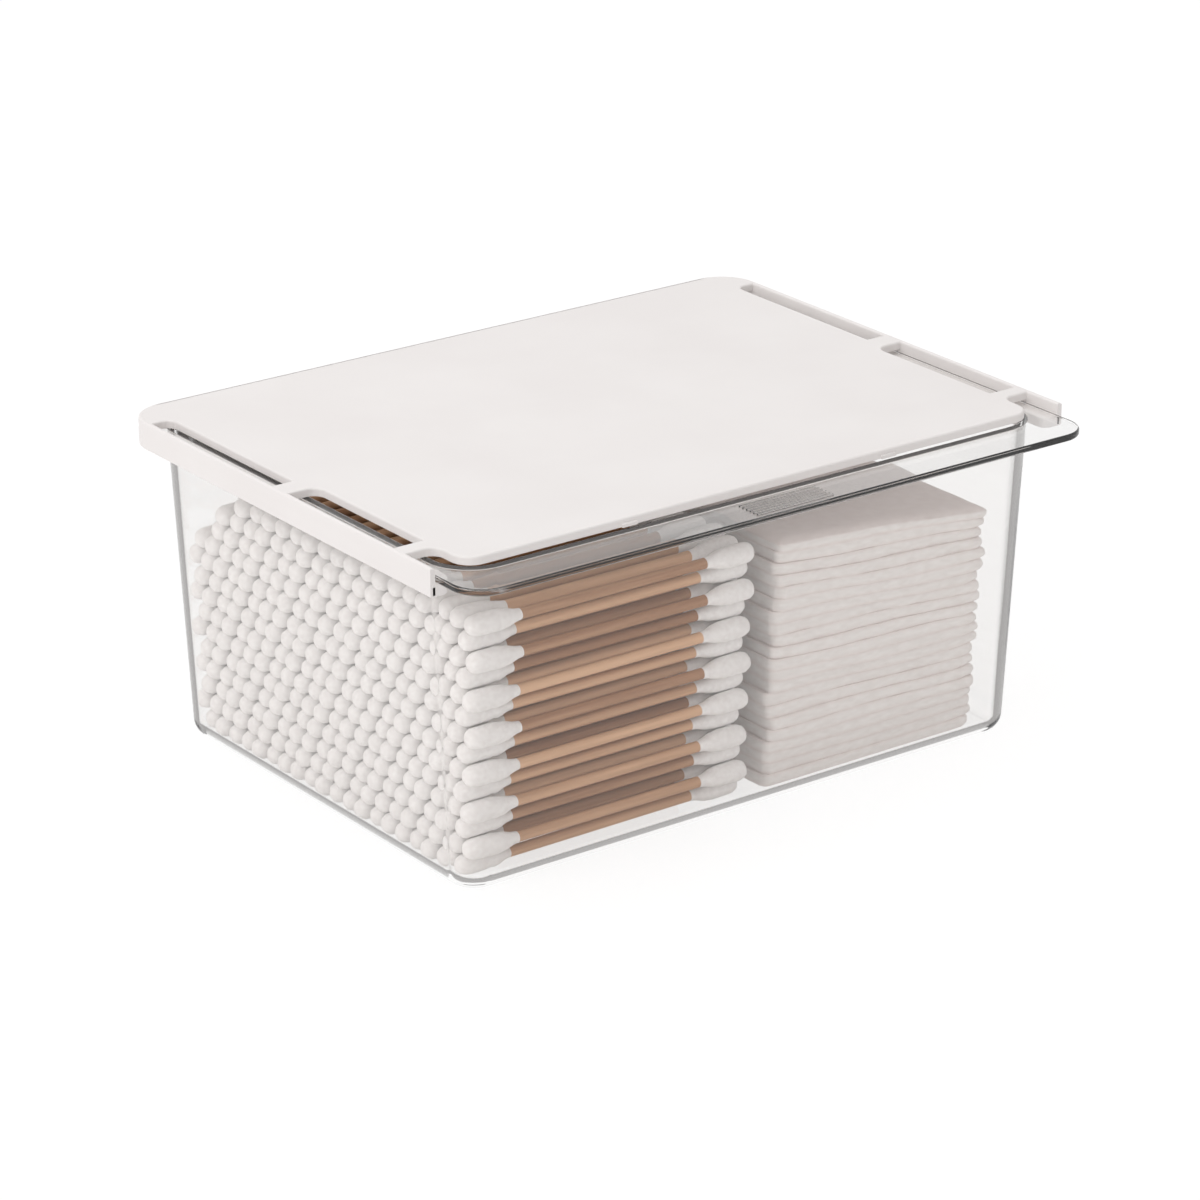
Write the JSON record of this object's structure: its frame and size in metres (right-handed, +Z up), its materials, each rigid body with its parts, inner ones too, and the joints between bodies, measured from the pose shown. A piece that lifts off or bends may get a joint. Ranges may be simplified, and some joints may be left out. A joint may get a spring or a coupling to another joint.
{
  "type": "under-shelf drawer organizer",
  "caption": "Clear shallow drawer that hangs by its flange in the rails of a flat white cover plate, filled with cotton swabs and cotton pads.",
  "frame": {"origin": "centre of the drawer's flat bottom, on the surface that it stands on", "axes": "+Z up, +X to the right along the long side, the drawer opens towards -Y"},
  "size_m": [0.173, 0.1349, 0.0786],
  "materials": {
    "white_plastic": "satin",
    "clear_plastic": "polished and clear",
    "swab": "bare wood with white cotton tips",
    "cotton": "soft pressed cotton"
  },
  "bodies": {
    "cover": {"cover_plate": "white_plastic"},
    "drawer": {"drawer_tray": "clear_plastic", "swab_row_01": "swab", "swab_row_02": "swab", "swab_row_03": "swab", "swab_row_04": "swab", "swab_row_05": "swab", "swab_row_06": "swab", "swab_row_07": "swab", "swab_row_08": "swab", "swab_row_09": "swab", "swab_row_10": "swab", "swab_row_11": "swab", "swab_row_12": "swab", "swab_row_13": "swab", "swab_row_14": "swab", "cotton_pad_01": "cotton", "cotton_pad_02": "cotton", "cotton_pad_03": "cotton", "cotton_pad_04": "cotton", "cotton_pad_05": "cotton", "cotton_pad_06": "cotton", "cotton_pad_07": "cotton", "cotton_pad_08": "cotton", "cotton_pad_09": "cotton", "cotton_pad_10": "cotton", "cotton_pad_11": "cotton", "cotton_pad_12": "cotton", "cotton_pad_13": "cotton", "cotton_pad_14": "cotton", "cotton_pad_15": "cotton", "cotton_pad_16": "cotton", "cotton_pad_17": "cotton", "cotton_pad_18": "cotton", "cotton_pad_19": "cotton", "cotton_pad_20": "cotton", "cotton_pad_21": "cotton"}
  },
  "joints": [
    {"name": "drawer_slide", "type": "slide", "parent": "cover", "child": "drawer", "axis": [0, -1, 0], "range_m": [0, 0.1]}
  ]
}
